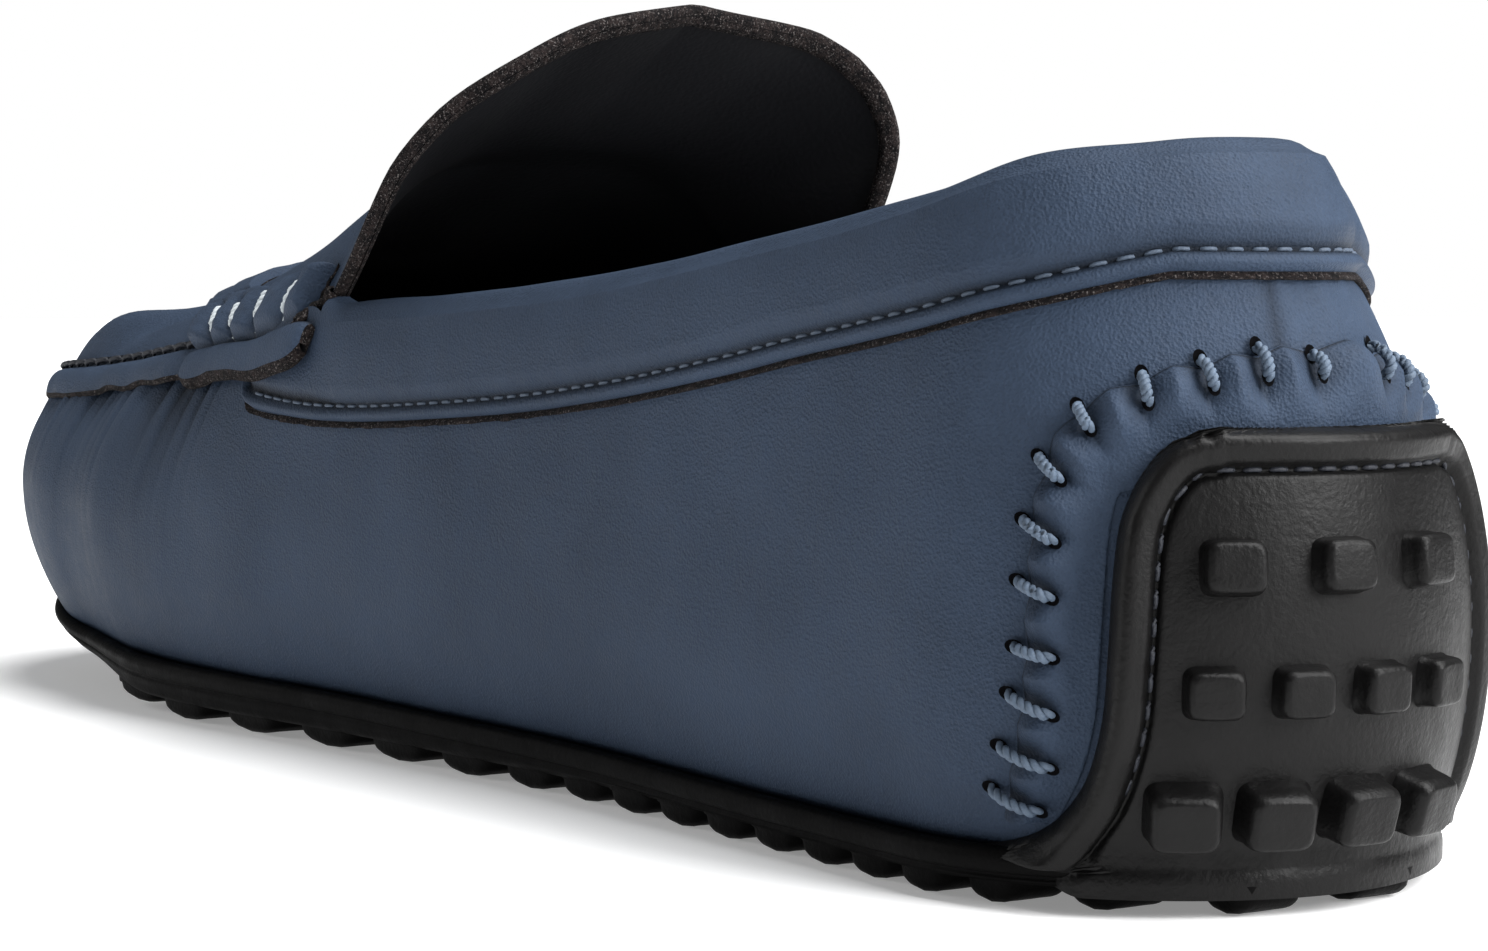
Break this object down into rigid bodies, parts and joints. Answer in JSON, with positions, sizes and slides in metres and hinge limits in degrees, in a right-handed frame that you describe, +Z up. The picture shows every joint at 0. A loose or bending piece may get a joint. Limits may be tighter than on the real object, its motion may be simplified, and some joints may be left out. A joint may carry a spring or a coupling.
{
  "type": "driving moccasin",
  "caption": "Slip-on driving moccasin for the right foot with a raised toe seam, saddle strap, stitched heel counter, tall tongue and lugged rubber sole that climbs the heel.",
  "frame": {"origin": "middle of the shoe's bounding box, on the floor it stands on", "axes": "+X towards the toe, +Y towards the inner side of the foot, +Z up"},
  "size_m": [0.29, 0.0914, 0.0968],
  "materials": {
    "outsole": "matte moulded rubber",
    "upper": "matte brushed leather",
    "collar_band": "matte brushed leather with a raw lower edge",
    "saddle_strap": "matte brushed leather with raw edges",
    "apron_lip": "matte brushed leather",
    "heel_counter": "matte brushed leather",
    "insole": "smooth dark lining leather"
  },
  "bodies": {
    "root": {"outsole": "outsole", "upper": "upper", "collar_band": "collar_band", "saddle_strap": "saddle_strap", "apron_lip": "apron_lip", "heel_counter": "heel_counter", "insole": "insole"}
  },
  "joints": []
}
